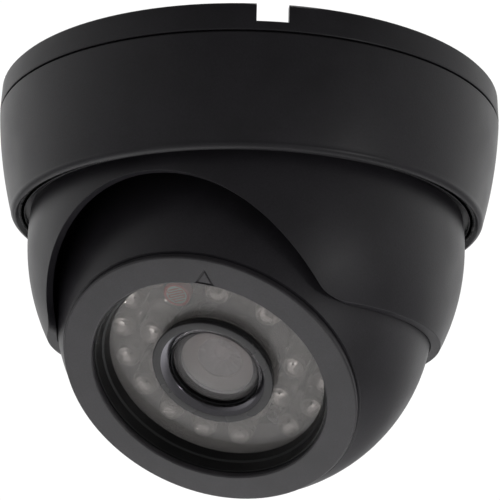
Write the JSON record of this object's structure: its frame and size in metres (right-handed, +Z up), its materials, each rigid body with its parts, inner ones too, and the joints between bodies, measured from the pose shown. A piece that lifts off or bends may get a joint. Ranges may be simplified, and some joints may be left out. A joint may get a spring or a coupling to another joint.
{
  "type": "dome cctv camera",
  "caption": "Ceiling dome camera: drum base and cover, pan shroud with an arched opening, and a tilting eyeball with a window, a lens and infrared LEDs.",
  "frame": {"origin": "centre of the ceiling face of the base", "axes": "+Z up into the ceiling, -Y towards the front of the base, where its cable notch is; the camera hangs below z = 0"},
  "size_m": [0.094, 0.094, 0.0746],
  "materials": {
    "base_plastic": "satin black moulded ABS, finely textured",
    "cover_plastic": "satin black moulded ABS, finely textured",
    "shroud_plastic": "satin black moulded ABS, finely textured",
    "ball_plastic": "satin black moulded ABS",
    "bezel_plastic": "semi-gloss black moulded ABS",
    "trim_plastic": "matt black, turned steps inside",
    "hood_plastic": "satin black",
    "black_rubber": "matt",
    "acetal": "natural, slightly waxy",
    "spring_steel": "bright",
    "zinc_steel": "zinc plated",
    "standoff_brass": "machined",
    "window_glass": "flat clear window, polished",
    "lens_glass": "coated, polished",
    "filter_glass": "infrared cut filter with a faint red reflection",
    "led_epoxy": "water-clear epoxy",
    "photocell_face": "glazed face with a winding track",
    "board_resist": "dark solder resist over copper",
    "chip_epoxy": "matt moulded epoxy",
    "connector_nylon": "natural nylon",
    "wire_pvc": "white insulation",
    "sensor_package": "ceramic package under cover glass",
    "lens_anodised": "black anodised, fine turned"
  },
  "bodies": {
    "base": {"mounting_base": "base_plastic", "base_gasket": "black_rubber"},
    "cover": {"cover_ring": "cover_plastic", "pan_friction_ring": "acetal", "pan_retaining_ring": "spring_steel"},
    "shroud": {"pan_shroud": "shroud_plastic"},
    "eye": {"eye_front_shell": "ball_plastic", "eye_rear_shell": "ball_plastic", "shell_seal": "black_rubber", "shell_screws": "zinc_steel", "tilt_pivot_pins": "zinc_steel", "pivot_washers": "acetal", "cable_grommet": "black_rubber"},
    "module": {"bezel_ring": "bezel_plastic", "window_retainer": "trim_plastic", "front_window": "window_glass", "window_seal": "black_rubber", "spacer_sleeve": "trim_plastic", "lens_hood": "hood_plastic", "hood_seal": "black_rubber", "led_board": "board_resist", "ir_leds_outer": "led_epoxy", "ir_leds_inner": "led_epoxy", "photocell": "photocell_face", "board_retaining_ring": "trim_plastic", "module_circlip": "spring_steel", "board_standoffs": "standoff_brass", "board_screws": "zinc_steel", "sensor_board": "board_resist", "board_chips": "chip_epoxy", "board_connectors": "connector_nylon", "link_wires": "wire_pvc", "image_sensor": "sensor_package", "ir_cut_filter": "filter_glass", "lens_holder": "trim_plastic", "holder_screws": "zinc_steel"},
    "lens": {"lens_barrel": "lens_anodised", "lens_front_element": "lens_glass", "lens_spacer_ring": "lens_anodised", "lens_inner_element": "lens_glass", "aperture_stop": "lens_anodised", "lens_rear_element": "lens_glass", "focus_lock_ring": "lens_anodised"}
  },
  "joints": [
    {"name": "cover_twist", "type": "hinge", "parent": "base", "child": "cover", "pos_m": [0, 0, -0.0105], "axis": [0, 0, 1], "range_deg": [0, 36]},
    {"name": "pan", "type": "hinge", "parent": "cover", "child": "shroud", "pos_m": [0, 0, -0.023], "axis": [0, 0, 1], "range_deg": [-149, 201]},
    {"name": "tilt", "type": "hinge", "parent": "shroud", "child": "eye", "pos_m": [0, 0, -0.0402], "axis": [-0.8988, 0.4384, 0], "range_deg": [-39, 36]},
    {"name": "image_rotation", "type": "hinge", "parent": "eye", "child": "module", "pos_m": [0, 0, -0.0402], "axis": [-0.2759, -0.5656, -0.7771], "range_deg": [-156, 194]},
    {"name": "focus", "type": "hinge", "parent": "module", "child": "lens", "pos_m": [0, 0, -0.0402], "axis": [-0.2759, -0.5656, -0.7771], "range_deg": [-180, 180]}
  ]
}
